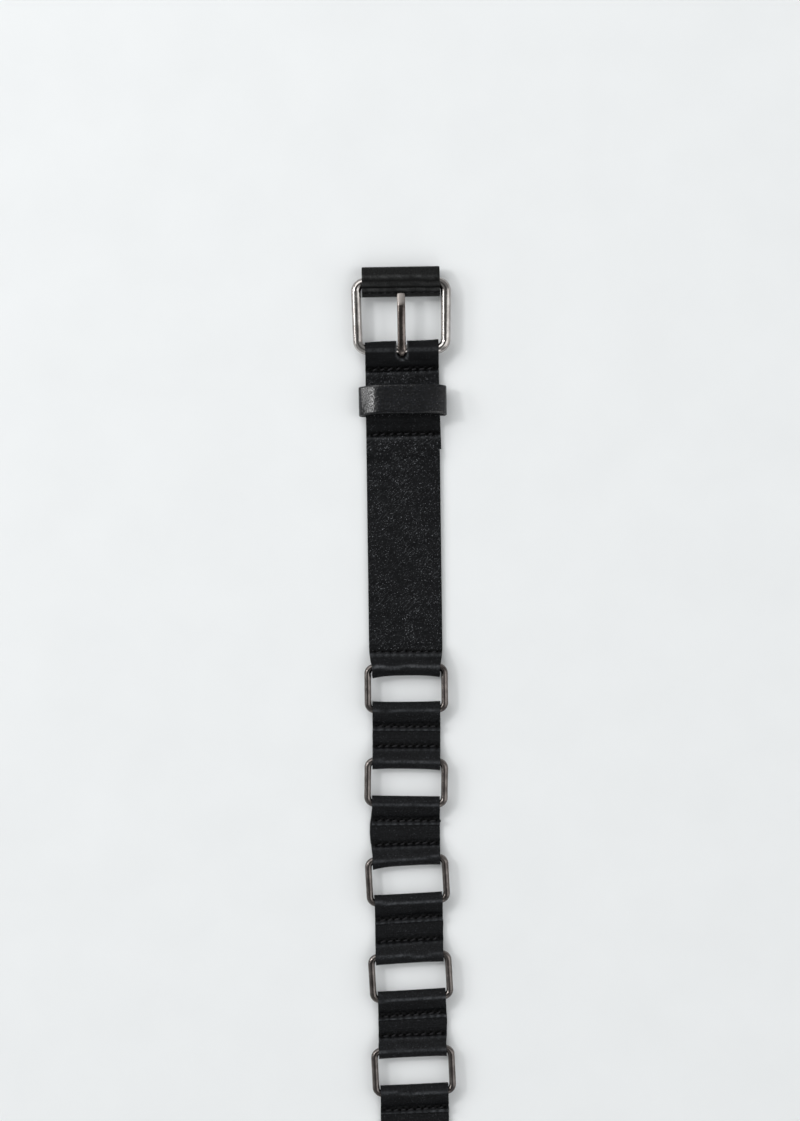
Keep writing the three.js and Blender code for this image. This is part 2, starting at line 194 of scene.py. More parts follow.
# Light. Soft panels beyond the buckle and low to the left, so that the shadows fall to the right and
# fade out, weaker ones on the other sides, and a pale room that is darker overhead.
LIGHT_TARGET = Vector((0, 0.3, 0))
ROOM_TINT = (0.97, 0.99, 0.99, 1.0)
ROOM_LOW = 0.49
ROOM_OVERHEAD = 0.29
DARK_OVERHEAD = 0.3  # how much of that is left right above, which draws a dark line down each wire
DARK_FROM, DARK_TO = 0.925, 0.975  # the height of a direction at which it starts and is full


def panel(name, place, size, power):
    light = bpy.data.lights.new(name, "AREA")
    light.shape = "RECTANGLE"
    light.size, light.size_y = size
    light.energy = power
    lamp = bpy.data.objects.new(name, light)
    lamp.location = place
    aim = LIGHT_TARGET - Vector(place)
    lamp.rotation_euler = aim.to_track_quat("-Z", "Y").to_euler()
    scene.collection.objects.link(lamp)


panel("panel_beyond", (-0.9, 1.9, 1.4), (1.5, 1.5), 18)
panel("panel_low_left", (-2.4, 1.1, 1.15), (1.2, 0.5), 13)
panel("panel_left", (-1.5, 0.95, 1.35), (0.32, 0.32), 10.5)
panel("panel_side", (-1.9, 0.35, 0.95), (0.6, 0.2), 2)
panel("panel_right", (1.8, 0.1, 1.2), (1.6, 1.6), 10)
panel("panel_above_right", (0.75, 0.3, 1.4), (0.4, 0.9), 2)
panel("panel_near", (0.3, -1.6, 1.5), (1.2, 1.2), 6)

room = bpy.data.worlds.new("pale_room")
air = Shading(room, "Background")
height = air.node("SeparateXYZ", {}, air.node("TexCoord", {}, output="Generated"), output="Z")
fade = air.node("MapRange", {}, Value=height, To_Min=ROOM_LOW, To_Max=ROOM_OVERHEAD)
darkening = air.node(
    "MapRange", {}, Value=height, From_Min=DARK_FROM, From_Max=DARK_TO, To_Min=1.0, To_Max=DARK_OVERHEAD
)
air.give(Color=ROOM_TINT, Strength=fade * darkening)
scene.world = room

# Front strap. One strip of grained black leather: one end is turned back under the buckle's bar and
# sewn in two rows, with a slot for the tongue, and the other is turned over the first ring's bar
# onto its own face and sewn down. The sizes are millimetres from the buckle's pivot.
LEATHER = 1.6
WALL = LEATHER / 2
PLY_GAP = 0.2  # between two layers that are sewn together
LOWER_Z = WALL  # the lower layer's middle
UPPER_Z = LEATHER + PLY_GAP + WALL
TOP = UPPER_Z + WALL
LOWER_TO = LOWER_Z + 0.1  # the lower layer's points lie below this
UPPER_FROM = UPPER_Z - 0.3  # and the upper layer's above this
CLEARANCE = 0.3
RING_WIRE = 2.75
FRAME_WIRE = 3.9
STRAP_WIDTH = 30
LINK_WIDTH = 27.7
FLAP_LENGTH = 12
FLAP_SEAM = 3.2
FLAP_ROW = 2.7  # from a strap flap's cut end to its stitches
STRAP_LENGTH = 132.9
TURN_BACK = 40.7
TURN_BACK_SLIP = 0.6  # how far the layer under the strap slips out to the right
KEEPER_BACK, KEEPER_FRONT = -15.6, -27.4
RAISED_LAYER = 4.4  # over the keeper's back
EASE = 3.4  # the run in which a layer rises or sinks over another
ROW_BY_BUCKLE = -7.9
ROW_BELOW_KEEPER = -34.4
SLOT_HALF = 2.15
SLOT_END = -4.2
SLOT_SHORT = 0.5  # from the centre of its round upper end to where the turn round the bar ends
STRAP_PITCH = 3.2  # of its stitches
buckle_swing = next(joint for joint in frame["joints"] if joint["name"] == "buckle_swing")
PIVOT = Vector((0, buckle_swing["pos_m"][1], 0))
TO_WORLD = Matrix.Translation(PIVOT) @ Matrix.Scale(0.001, 4)

RING_BEND = RING_WIRE / 2 + CLEARANCE + WALL  # of the layer's middle round the wire
RING_HEIGHT = RING_WIRE / 2 + CLEARANCE + LEATHER
FRAME_BEND = FRAME_WIRE / 2 + CLEARANCE + WALL
FRAME_HEIGHT = FRAME_WIRE / 2 + CLEARANCE + LEATHER
FOLD = RING_BEND + WALL
RING_WINDOW = 10.85
RING_HALF = RING_WINDOW / 2 + FOLD  # from a ring's middle to its bar
LINK_LENGTH = 28.2
RING_PITCH = 2 * RING_HALF + LINK_LENGTH - 2 * FOLD
FIRST_RING = -(STRAP_LENGTH - FOLD) - RING_HALF

# How the rings in view lie: shift to the right as a share of a link's width, creep towards the buckle
# as a share of a ring's window, and turn in degrees.
RINGS_ASKEW = {
    1: (-0.016, 0.012, -0.3),
    2: (-0.04, 0.065, -1.6),
    3: (-0.043, -0.01, 2.3),
    4: (-0.019, -0.04, 2.5),
    5: (0.002, 0.012, 1.8),
}


def part_way(value, start, end):
    """How far a value has come from start to end, from 0 to 1."""
    return min(max((value - start) / (end - start), 0.0), 1.0)


def soft(share):
    """The same 0 to 1, with a smooth start and end."""
    return share * share * (3 - 2 * share)


def hump(distance, width):
    """1 in the middle, and falling smoothly to almost nothing at twice this width."""
    return math.exp(-((distance / width) ** 2))


def waver(along, run, line, seed):
    """Smooth noise along a line, with swings about as long as this run."""
    return noise.noise(Vector((along / run, line, seed)))


def ring_place(number):
    shift, creep, turn = RINGS_ASKEW.get(number, (0, 0, 0))
    y = FIRST_RING - (number - 1) * RING_PITCH + creep * RING_WINDOW
    return shift * LINK_WIDTH, y, math.radians(turn)


def bar_place(number, side):
    """Where a ring's bar lies: side 1 is the one nearer the buckle."""
    x, y, turn = ring_place(number)
    return x - side * RING_HALF * math.sin(turn), y + side * RING_HALF * math.cos(turn), turn


class Route:
    """The middle of a leather strip seen from its edge, as points of (y, z). Each call adds a
    stretch and returns the length so far."""

    ARC_STEPS = 40
    SLOPE_STEPS = 16

    def __init__(self, y, z):
        self.points = [Vector((y, z))]
        self.lengths = [0.0]

    def line(self, y, z):
        point = Vector((y, z))
        self.lengths.append(self.lengths[-1] + (point - self.points[-1]).length)
        self.points.append(point)
        return self.lengths[-1]

    def arc(self, y, z, radius, start, end):
        for step in range(self.ARC_STEPS + 1):
            angle = start + (end - start) * step / self.ARC_STEPS
            self.line(y + radius * math.cos(angle), z + radius * math.sin(angle))
        return self.lengths[-1]

    def slope(self, y, z):
        first = self.points[-1].copy()
        for step in range(1, self.SLOPE_STEPS + 1):
            share = step / self.SLOPE_STEPS
            self.line(first.x + (y - first.x) * share, first.y + (z - first.y) * soft(share))
        return self.lengths[-1]

    def at(self, length):
        length = min(max(length, 0.0), self.lengths[-1])
        i = min(bisect_right(self.lengths, length), len(self.lengths) - 1)
        span = max(self.lengths[i] - self.lengths[i - 1], 1e-9)
        return self.points[i - 1].lerp(self.points[i], (length - self.lengths[i - 1]) / span)

    def fold_over(self, bar_y, height, bend, side, flat_y, start_low):
        """Round a bar from the layer on the table to the layer on top, or back down from it."""
        centre = Vector((bar_y, height))
        away = Vector((flat_y, UPPER_Z)) - centre
        lean = math.atan2(away.y, away.x) - side * math.acos(bend / away.length)
        low = -math.pi / 2
        if side > 0 and lean < low:
            lean += 2 * math.pi
        if side < 0 and lean > low:
            lean -= 2 * math.pi
        turn = (low, lean) if start_low else (lean, low)
        return self.arc(bar_y, height, bend, *turn)


EDGE_STEPS = (0.12, 0.35)  # the grid's first lines from a cut edge, which is rounded there
BUSY_REACH = 2.0
BUSY_PACE = 0.4  # of the pace elsewhere


def places_across(width, pace):
    """Places across a strip, evenly spaced but for the cut edges."""
    inner = width / 2 - EDGE_STEPS[1]
    count = round(2 * inner / pace)
    middle = [inner * (2 * i / count - 1) for i in range(count + 1)]
    outer = width / 2 - EDGE_STEPS[0]
    return [-width / 2, -outer, *middle, outer, width / 2]


def places_along(length, pace, busy):
    """Places along a strip, closer together near the busy ones."""
    places = [0.0, *EDGE_STEPS]
    last = length - EDGE_STEPS[1]
    close = BUSY_PACE * pace
    while places[-1] < last - close:
        near = any(abs(places[-1] - place) < BUSY_REACH for place in busy)
        places.append(places[-1] + (close if near else pace))
    stretch = (last - EDGE_STEPS[1]) / (places[-1] - EDGE_STEPS[1])
    inner = [EDGE_STEPS[1] + (place - EDGE_STEPS[1]) * stretch for place in places[2:]]
    return [0.0, EDGE_STEPS[0], *inner, length - EDGE_STEPS[0], length]


def flat_sheet(across, along):
    """A flat grid with lines at these places, X across and Y along the strip."""
    mesh = bmesh.new()
    columns, rows = len(across) - 1, len(along) - 1
    bmesh.ops.create_grid(mesh, x_segments=columns, y_segments=rows, size=1)
    for vert in mesh.verts:
        column = round((vert.co.x + 1) / 2 * columns)
        row = round((vert.co.y + 1) / 2 * rows)
        vert.co = (across[column], along[row], 0)
    return mesh


def strip_sheet(route, width, paces, busy):
    """A flat sheet as long as a route, with a grid of these paces across and along it."""
    across = places_across(width, paces[0])
    return flat_sheet(across, places_along(route.lengths[-1], paces[1], busy))


def open_slot(mesh, first, last, radius):
    """Cuts a round-ended slot into a flat sheet, between two points on its middle line."""
    reach = radius * 0.92  # of the square hole that is cut first and then made round
    blend = 1.6  # how far round it the grid's lines bend
    far = radius + blend + 2  # the sheet's own edges lie past this

    def inside(point):
        return abs(point.x) < reach and first - reach < point.y < last + reach

    hole = [face for face in mesh.faces if inside(face.calc_center_median())]
    bmesh.ops.delete(mesh, geom=hole, context="FACES")
    for vert in mesh.verts:
        middle = Vector((0, min(max(vert.co.y, first), last), 0))
        away = vert.co - middle
        if away.length < 1e-6 or away.length > far:
            continue
        square = max(abs(away.x), abs(away.y))
        share = 0.0 if vert.is_boundary else part_way(square, reach, reach + blend)
        on_round = middle + away.normalized() * radius
        vert.co = on_round.lerp(vert.co, share) if share < 1 else vert.co


EDGE_WALL, NEXT_WALL = 0.55, 0.88  # shares of the wall at a cut edge and at the line next to it


def wall_weights(mesh):
    """Thins the wall at cut edges, which rounds them."""
    weights = mesh.verts.layers.deform.verify()
    for vert in mesh.verts:
        if vert.is_boundary:
            vert[weights][0] = EDGE_WALL
        elif any(edge.other_vert(vert).is_boundary for edge in vert.link_edges):
            vert[weights][0] = NEXT_WALL
        else:
            vert[weights][0] = 1.0


def bend_along(mesh, route):
    for vert in mesh.verts:
        place = route.at(vert.co.y)
        vert.co = (vert.co.x, place.x, place.y)


def narrow_to_fold(mesh, bar_y, side):
    """Brings a strap down to a link's width between its flap's cut end and the ring's bar."""
    cut = bar_y + side * (FOLD - FLAP_LENGTH)
    for vert in mesh.verts:
        vert.co.x *= 1 + (LINK_WIDTH / STRAP_WIDTH - 1) * part_way(vert.co.y, cut, bar_y) ** 2


def lay_between(mesh, upper, lower):
    """Shifts and turns what runs between two bars so that it lies square to each."""
    for vert in mesh.verts:
        along = min(max(vert.co.y, lower[1]), upper[1])
        share = (upper[1] - along) / (upper[1] - lower[1])
        shift = upper[0] + (lower[0] - upper[0]) * share
        turn = upper[2] + (lower[2] - upper[2]) * share
        past = vert.co.y - along
        x = vert.co.x
        vert.co.x = shift + x * math.cos(turn) - past * math.sin(turn)
        vert.co.y = along + x * math.sin(turn) + past * math.cos(turn)


ROW_MARGINS = 2.2  # what a stitched row leaves free, both ends together
ROW_DRIFT = 0.25  # of its two ends along the strip
NEEDLE_SLIP = (0.25, 0.2)  # of each hole, across and along


def needle_holes(y, width, pitch, chance):
    """Where the needle went through, in a row that isn't quite straight or even."""
    count = int((width - ROW_MARGINS) / pitch)
    drift = chance.uniform(-ROW_DRIFT, ROW_DRIFT)
    holes = []
    for i in range(count + 1):
        x = (i - count / 2) * pitch + chance.uniform(-NEEDLE_SLIP[0], NEEDLE_SLIP[0])
        slip = chance.uniform(-NEEDLE_SLIP[1], NEEDLE_SLIP[1])
        holes.append(Vector((x, y + drift * x / width * 2 + slip)))
    return holes


def marks(mesh, name):
    """Values at a mesh's points that its material reads by this name."""
    return mesh.verts.layers.float.get(name) or mesh.verts.layers.float.new(name)


ROW_REACH = 3.5  # how far from a row the leather is pressed or marked
GROOVE_MIDDLE, GROOVE_WIDTH = 0.3, 1.0
LIP_MIDDLE, LIP_WIDTH = -1.55, 0.6
LIP_MARKED = 0.2  # the lip height from which its painted highlight is full
HOLE_WIDTH, HOLE_DEPTH = 0.6, 0.34


def press_stitches(mesh, holes, pitch, floor_z, groove=0.22, lit_lip=0.12):
    """Sinks a stitched row into the layer over floor_z, with painted shade marked in its groove and needle
    holes and a painted highlight on the lip below it. The lip's height also sets how strongly that
    highlight is marked.
    """
    dark = marks(mesh, "groove")
    light = marks(mesh, "lit_lip")
    row_y = sum(hole.y for hole in holes) / len(holes)
    tilt = (holes[-1].y - holes[0].y) / (holes[-1].x - holes[0].x)
    for vert in mesh.verts:
        if vert.co.z < floor_z or abs(vert.co.y - row_y) > ROW_REACH:
            continue
        off = vert.co.y - row_y - tilt * vert.co.x
        hole = min(holes, key=lambda place: (place - vert.co.xy).length)
        near = hump((hole - vert.co.xy).length, HOLE_WIDTH)
        valley = hump(off - GROOVE_MIDDLE, GROOVE_WIDTH)
        beat = 0.5 - 0.5 * math.cos(2 * math.pi * (vert.co.x - hole.x) / pitch)
        lit_ridge = hump(off - LIP_MIDDLE, LIP_WIDTH) * (0.35 + 0.65 * beat)
        vert.co.z += lit_lip * lit_ridge - groove * valley - HOLE_DEPTH * near
        # Painted shade in the groove and the holes, and a painted highlight on the lip.
        vert[dark] = max(vert[dark], 0.75 * valley, near)
        vert[light] = max(vert[light], lit_ridge * min(lit_lip / LIP_MARKED, 1.0))


def ridge_and_highlight(mesh, y, width, amount, height=0.1, bow=0.0):
    """Raises the top layer a little where it bends over something at y, and paints a soft broken highlight
    line along it there.
    """
    light = marks(mesh, "lit_ridge")
    for vert in mesh.verts:
        off = vert.co.y - y - bow * waver(vert.co.x, 8, y, 3)
        if vert.co.z > UPPER_FROM and abs(off) < 4 * width:
            line = hump(off, width)
            patchy = 0.75 + 0.5 * waver(vert.co.x, 2.5, y, 8)
            vert[light] = max(vert[light], min(1.3 * amount * line * patchy, 1.0))
            vert.co.z += height * line


FLAP_FROM = LEATHER + 0.75  # a flap's points lie above this
SKIVED_TO = LEATHER + 0.17  # where the middle of its cut end comes down to
SKIVED_AWAY = 0.86  # of the wall there
SKIVE_CURVE = 1.3


def skive_end(mesh, cut_y, row_y):
    """Thins a flap from its stitches to its cut end, down to the layer that it is sewn on."""
    weights = mesh.verts.layers.deform.verify()
    for vert in mesh.verts:
        share = part_way(vert.co.y, row_y, cut_y)
        if vert.co.z > FLAP_FROM and share > 0:
            skived = share**SKIVE_CURVE
            vert[weights][0] = min(vert[weights][0], 1 - SKIVED_AWAY * skived)
            vert.co.z -= (UPPER_Z - SKIVED_TO) * skived


def bow_edge(mesh, edge_y, side, left, middle, right, reach=4.5):
    """Bows a fold's edge by these distances along Y at its left corner, middle and right corner."""
    for vert in mesh.verts:
        inward = (edge_y - vert.co.y) * side
        if inward < reach:
            x = 2 * vert.co.x / LINK_WIDTH
            corner = left if x < 0 else right
            bow = middle + (corner - middle) * min(abs(x), 1.1) ** 3
            vert.co.y += bow * soft(1 - max(inward, 0.0) / reach)


def ball(mesh, segments, rings):
    """A ball one millimetre across, to be squeezed and moved. Returns its points."""
    made = bmesh.ops.create_uvsphere(mesh, u_segments=segments, v_segments=rings, radius=0.5)
    return made["verts"]


# Sizes of the near-black balls that paint the shade in the needle holes, and of the threads.
PIT_SHIFT, PIT_SUNK, PIT_HEIGHT = 0.12, 0.48, 0.4
THREAD_SHIFT, THREAD_HEIGHT, THREAD_SAG = -0.1, 0.5, 0.5
THREAD_SLANT = 20  # degrees from the row


def stitch_thread(mesh, holes, top, chance):
    """A near-black ball sunk at each needle hole as painted shade for the hole, and one bent oval of
    thread between each two.
    """
    for hole in holes:
        pit = ball(mesh, 8, 5)
        size = chance.uniform(1.0, 1.35)
        bmesh.ops.scale(mesh, verts=pit, vec=(size, size * 1.15, PIT_HEIGHT))
        bmesh.ops.translate(mesh, verts=pit, vec=(hole.x, hole.y + PIT_SHIFT, top - PIT_SUNK))
        for face in {face for vert in pit for face in vert.link_faces}:
            face.material_index = 1
    for first, second in zip(holes, holes[1:]):
        run = second - first
        middle = (first + second) / 2
        made = ball(mesh, 8, 6)
        bmesh.ops.rotate(mesh, verts=made, cent=(0, 0, 0), matrix=Matrix.Rotation(math.pi / 2, 3, "Y"))
        length = run.length * chance.uniform(0.7, 0.86)
        bmesh.ops.scale(mesh, verts=made, vec=(length, chance.uniform(0.6, 0.75), THREAD_HEIGHT))
        for vert in made:
            vert.co.z -= THREAD_SAG * (2 * vert.co.x / run.length) ** 2
        turn = math.atan2(run.y, run.x) + math.radians(THREAD_SLANT + chance.uniform(-12, 12))
        bmesh.ops.rotate(mesh, verts=made, cent=(0, 0, 0), matrix=Matrix.Rotation(turn, 3, "Z"))
        sunk = chance.uniform(0.2, 0.32)
        bmesh.ops.translate(mesh, verts=made, vec=(middle.x, middle.y + THREAD_SHIFT, top - sunk))


def finish_piece(mesh, name, body, materials):
    """Puts a mesh of millimetres in its place as a piece."""
    bmesh.ops.transform(mesh, matrix=TO_WORLD, verts=mesh.verts)
    bmesh.ops.recalc_face_normals(mesh, faces=mesh.faces)
    for face in mesh.faces:
        face.smooth = True
    piece = make_object(mesh, name, materials)
    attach(piece, body)
    return piece


def finish_sheet(mesh, name, body, material, wall=LEATHER):
    """The same for a sheet of leather, which gets its wall and its painted edges here."""
    piece = finish_piece(mesh, name, body, [material, painted_edge.material])
    piece.vertex_groups.new(name="wall")
    thicken = piece.modifiers.new("wall", "SOLIDIFY")
    thicken.thickness = wall / 1000
    thicken.offset = 0
    thicken.use_even_offset = True
    thicken.vertex_group = "wall"
    thicken.material_offset_rim = 1
    return piece


def sew(name, body, rows, top, chance, bars=None):
    """The painted-shade balls at the needle holes and the threads of some rows, as a piece that follows
    the strip between these bars.
    """
    mesh = bmesh.new()
    for holes in rows:
        stitch_thread(mesh, holes, top, chance)
    if bars:
        lay_between(mesh, *bars)
    finish_piece(mesh, name, body, [yarn.material, needle_hole_shade.material])


def leather(name, dark, light, grain, depth, rough, wave=0.00006, specks=0.5, crease=0.0, gloss=0.2):
    """Black leather, from its dark shade to the pale one that stands for wear and for painted highlights.
    Grain is the size of its pebbles, depth their height and wave the height of its slow unevenness, in
    metres. Specks, creases and gloss are shares."""
    finish = Finish(name, Specular_IOR_Level=gloss)
    grained = 1 - finish.painted("plain")
    groove, lit_ridge, lit_lip = (finish.painted(mark) for mark in ("groove", "lit_ridge", "lit_lip"))
    coarse, fine = finish.stretched((grain * 3,) * 3), finish.stretched((grain,) * 3)
    wander = finish.node("TexNoise", {}, output="Color", Vector=coarse, Scale=1.0)
    warped = finish.node("VectorMath", {"operation": "ADD"}, fine, wander)
    pebbles = finish.node(
        "TexVoronoi", {"feature": "SMOOTH_F1"}, output="Distance", Vector=warped, Scale=1.0, Smoothness=0.3
    )
    swell = 1 - pebbles.between(0.05, 0.75)
    pores = finish.speckle(grain * 0.9, detail=3)
    patches = finish.speckle(grain * 9, detail=3, seed=4)
    waves = finish.speckle((0.009, 0.0016, 0.003), detail=3, seed=9)
    veins = finish.speckle((0.0024, 0.0005, 0.002), detail=3, turn=42, seed=2)
    lines = veins.between(0.55, 0.68) * patches.between(0.35, 0.6) * crease
    # Pale pebble tips: partly real wear, partly painted glints on the pebbles.
    tips = finish.speckle(grain * 0.8, detail=2, seed=6).between(0.57, 0.68) * swell
    tip_wear_and_glint = tips * (0.55 + 0.45 * patches.between(0.3, 0.7)) * (0.1 + 0.9 * grained) * specks
    broken = finish.speckle(grain * 1.5, detail=3, seed=7).between(0.3, 0.6)
    # Painted highlights: along ridges where the leather bends over a wire and along crease crests, on
    # stitch lips and on the slot's rim.
    shine = lit_ridge * (0.4 + 0.6 * broken)
    painted_highlight = lit_lip * (0.3 + 0.7 * broken)
    wear_and_highlight = tip_wear_and_glint + lines * grained * 0.6 + shine * 0.3 + painted_highlight * 0.35 + waves * 0.03
    tone = finish.blend(pores.between(0.4, 0.62), shade(4, 4, 5), dark)
    # groove turns the colour near black: painted shade in stitch grooves, needle holes and crease valleys,
    # and a darker band along a link's upper fold.
    colour = finish.blend(groove, finish.blend(wear_and_highlight, tone, light), shade(4, 4, 4))
    height = swell * (0.12 + 0.88 * grained) + pores * 0.4 + lines * 0.5
    finish.give(
        Base_Color=colour,
        Roughness=rough + 0.06 * patches - 0.12 * tip_wear_and_glint - 0.16 * shine + 0.35 * groove,
        Normal=finish.bump(height, depth, Normal=finish.bump(waves, wave)),
    )
    return finish.material


grained_leather = leather(
    "grained_black_leather", shade(7, 8, 10), shade(162, 165, 170), 0.00065, 0.00012, 0.56, crease=0.14,
    gloss=0.05, specks=0.6,
)
painted_edge = Finish("painted_edge", Specular_IOR_Level=0.2)
fibres = painted_edge.speckle((0.0012, 0.0012, 0.0002), detail=3)
painted_edge.give(
    Base_Color=painted_edge.blend(fibres, shade(12, 12, 13), shade(34, 34, 36)),
    Roughness=0.38 + 0.2 * fibres,
    Normal=painted_edge.bump(fibres, 0.00004),
)
# The needle holes' painted shade: matte near-black balls sunk at each hole.
needle_hole_shade = Finish("needle_hole_shade", Roughness=1.0, Specular_IOR_Level=0.0)
shade_speckle = needle_hole_shade.speckle(0.0003)
needle_hole_shade.give(Base_Color=needle_hole_shade.blend(shade_speckle, shade(2, 2, 2), shade(6, 6, 6)))
yarn = Finish("black_waxed_thread", Specular_IOR_Level=0.2)
strands = yarn.speckle((0.0003, 0.0012, 0.0012), detail=2, turn=35)
yarn.give(
    Base_Color=yarn.blend(strands, shade(9, 9, 10), shade(40, 40, 43)),
    Roughness=0.45 + 0.2 * strands,
    Normal=yarn.bump(strands, 0.00008),
)

NARROWED_WIDTH = STRAP_WIDTH - 0.6  # at a flap's stitches, where the strap narrows to its fold
PLAIN_BY_KEEPER, PLAIN_BY_RING = 0.8, 0.85  # how much of the grain is pressed flat there
RIM_WIDTH = 0.3
RIM_LIGHT, RIM_SHADED = 0.8, 0.4  # how strongly a highlight is painted on the slot's rim on its right and on its left


def mark_strap(mesh, row_by_ring):
    """Marks where the grain is pressed flat, paints a highlight on the slot's rim that is brighter on its
    right, and lets the back slip.
    """
    plain = marks(mesh, "plain")
    rim = marks(mesh, "lit_lip")
    slot_middle = Vector((0, SLOT_END + SLOT_HALF))
    for vert in mesh.verts:
        by_buckle = part_way(vert.co.y, ROW_BY_BUCKLE - 1.5, ROW_BY_BUCKLE + 0.5)
        by_keeper = PLAIN_BY_KEEPER if ROW_BELOW_KEEPER < vert.co.y < KEEPER_FRONT else 0.0
        by_ring = PLAIN_BY_RING if vert.co.y < row_by_ring - 0.6 else 0.0
        vert[plain] = max(by_buckle, by_keeper, by_ring)
        if vert.co.y > SLOT_END - 2 and vert.co.z > UPPER_Z:
            near = (vert.co.xy - slot_middle).length if vert.co.y < slot_middle.y else abs(vert.co.x)
            # A painted highlight along the slot's rim, brighter on its right side.
            painted_highlight = RIM_LIGHT if vert.co.x > -0.8 else RIM_SHADED
            vert[rim] = max(vert[rim], painted_highlight * hump(near - SLOT_HALF, RIM_WIDTH))
        if vert.co.z < LOWER_TO and vert.co.y > -TURN_BACK - 0.1:
            vert.co.x += TURN_BACK_SLIP * part_way(-vert.co.y, 0, TURN_BACK) ** 2


chance = random.Random(30)
first_bar = bar_place(1, 1)[1]
flap_cut = first_bar - FOLD + FLAP_LENGTH
flap_flat = flap_cut - FLAP_SEAM
row_by_ring = flap_cut - FLAP_ROW
rows_at = [(ROW_BY_BUCKLE, STRAP_WIDTH), (ROW_BELOW_KEEPER, STRAP_WIDTH), (row_by_ring, NARROWED_WIDTH)]
strap_rows = [needle_holes(y, width, STRAP_PITCH, chance) for y, width in rows_at]

route = Route(-TURN_BACK, LOWER_Z)
slot_from = route.line(SLOT_END + SLOT_HALF, LOWER_Z)
route.line(0, LOWER_Z)
down = -(FRAME_BEND + EASE + WALL)
slot_to = route.fold_over(0, FRAME_HEIGHT, FRAME_BEND, 1, down, True)
busy = [slot_from, route.line(down, UPPER_Z), route.line(ROW_BY_BUCKLE, UPPER_Z)]
route.line(KEEPER_BACK + CLEARANCE + EASE, UPPER_Z)
route.slope(KEEPER_BACK + CLEARANCE, RAISED_LAYER)
route.line(KEEPER_FRONT - CLEARANCE, RAISED_LAYER)
route.slope(KEEPER_FRONT - CLEARANCE - EASE, UPPER_Z)
busy.append(route.line(ROW_BELOW_KEEPER, UPPER_Z))
route.line(-TURN_BACK - CLEARANCE, UPPER_Z)
route.slope(-TURN_BACK - CLEARANCE - EASE, LOWER_Z)
route.line(flap_cut, LOWER_Z)
route.line(first_bar, LOWER_Z)
busy.append(route.fold_over(first_bar, RING_HEIGHT, RING_BEND, -1, flap_flat, True))
busy.append(route.line(flap_flat, UPPER_Z))
busy.append(route.line(row_by_ring, UPPER_Z))
route.line(flap_cut, UPPER_Z)

mesh = strip_sheet(route, STRAP_WIDTH, (0.5, 0.72), busy)
open_slot(mesh, slot_from, slot_to - SLOT_SHORT, SLOT_HALF)
wall_weights(mesh)
bend_along(mesh, route)
for holes in strap_rows:
    press_stitches(mesh, holes, STRAP_PITCH, UPPER_FROM, lit_lip=0.07)
skive_end(mesh, flap_cut, row_by_ring)
ridge_and_highlight(mesh, -0.3, width=0.4, amount=0.45, height=0.05)
ridge_and_highlight(mesh, first_bar, width=0.4, amount=0.5, height=0.07, bow=0.7)
bow_edge(mesh, first_bar - FOLD, -1, left=-1.15, middle=-0.25, right=-0.95, reach=6)
bow_edge(mesh, FRAME_BEND + WALL, 1, left=0.1, middle=0.5, right=0.9, reach=5)
mark_strap(mesh, row_by_ring)
narrow_to_fold(mesh, first_bar, -1)
strap_ends = ((0, 0, 0), bar_place(1, 1))
lay_between(mesh, *strap_ends)
front_strap = finish_sheet(mesh, "front_strap_leather", "belt", grained_leather)
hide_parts("front_strap")
sew("front_strap_stitches", "belt", strap_rows, TOP, chance, strap_ends)

# Keeper. A closed band of smoother, glossier leather round the strap's face layer. Its top is
# slightly arched and slopes down to two soft bends, and its front leans towards the buckle.
KEEPER_BAND = 1.4
KEEPER_BOTTOM = 1.9
KEEPER_LEAN = 10  # degrees, as is the tilt
KEEPER_TILT = 8  # of its top, down towards the buckle
TILT_FROM, TILT_TO = 3.5, 6.5  # the heights at which that tilt starts and is full
KEEPER_WIDTH = KEEPER_BACK - KEEPER_FRONT
KEEPER_LOOP = [  # the corners of the band's middle as (x, z), from its lower left round its top
    (-15.9, 2.6), (-16.9, 2.7), (-17.2, 3.4), (-17.25, 4.3), (-16.8, 5.1), (-15.2, 6.15), (-13.2, 7.3),
    (-11.4, 8.1), (-9.9, 8.38), (-7, 8.42), (-4, 8.42), (4, 8.42), (7, 8.38), (9.8, 8.2), (15.4, 6.9),
    (17, 5.6), (17.25, 4.6), (17.2, 3.4), (16.9, 2.7), (15.9, 2.6),
]
CORNER_CUTS = 3  # how often the loop's corners are cut off, which makes it round
KEEPER_STEPS = 150

smooth_leather = leather(
    "smooth_keeper_leather", shade(14, 15, 19), shade(96, 98, 104), 0.0009, 0.00005, 0.21, wave=0.00003,
    specks=0.3, gloss=0.4,
)

corners = [Vector(corner) for corner in KEEPER_LOOP]
for _ in range(CORNER_CUTS):
    pairs = list(zip(corners, corners[1:] + corners[:1]))
    corners = [a.lerp(b, share) for a, b in pairs for share in (0.25, 0.75)]
loop = Route(*corners[0])
for corner in corners[1:] + corners[:1]:
    loop.line(*corner)
around = [loop.lengths[-1] * i / KEEPER_STEPS for i in range(KEEPER_STEPS + 1)]
mesh = flat_sheet(places_across(KEEPER_WIDTH, 0.8), around)
wall_weights(mesh)
weights = mesh.verts.layers.deform.verify()
lean = math.tan(math.radians(KEEPER_LEAN))
tilt = math.tan(math.radians(KEEPER_TILT))
for vert in mesh.verts:
    # The sheet's two ends meet in the closed band, so only its sides keep their thinner wall.
    inward = KEEPER_WIDTH / 2 - abs(vert.co.x)
    if inward > EDGE_STEPS[0] + 0.01:
        vert[weights][0] = 1.0
    elif inward > 0.01:
        vert[weights][0] = NEXT_WALL
    place = loop.at(vert.co.y)
    y = (KEEPER_BACK + KEEPER_FRONT) / 2 + vert.co.x + lean * (place.y - KEEPER_BOTTOM)
    rise = part_way(place.y, TILT_FROM, TILT_TO)
    vert.co = (place.x, y, place.y - tilt * rise * vert.co.x)
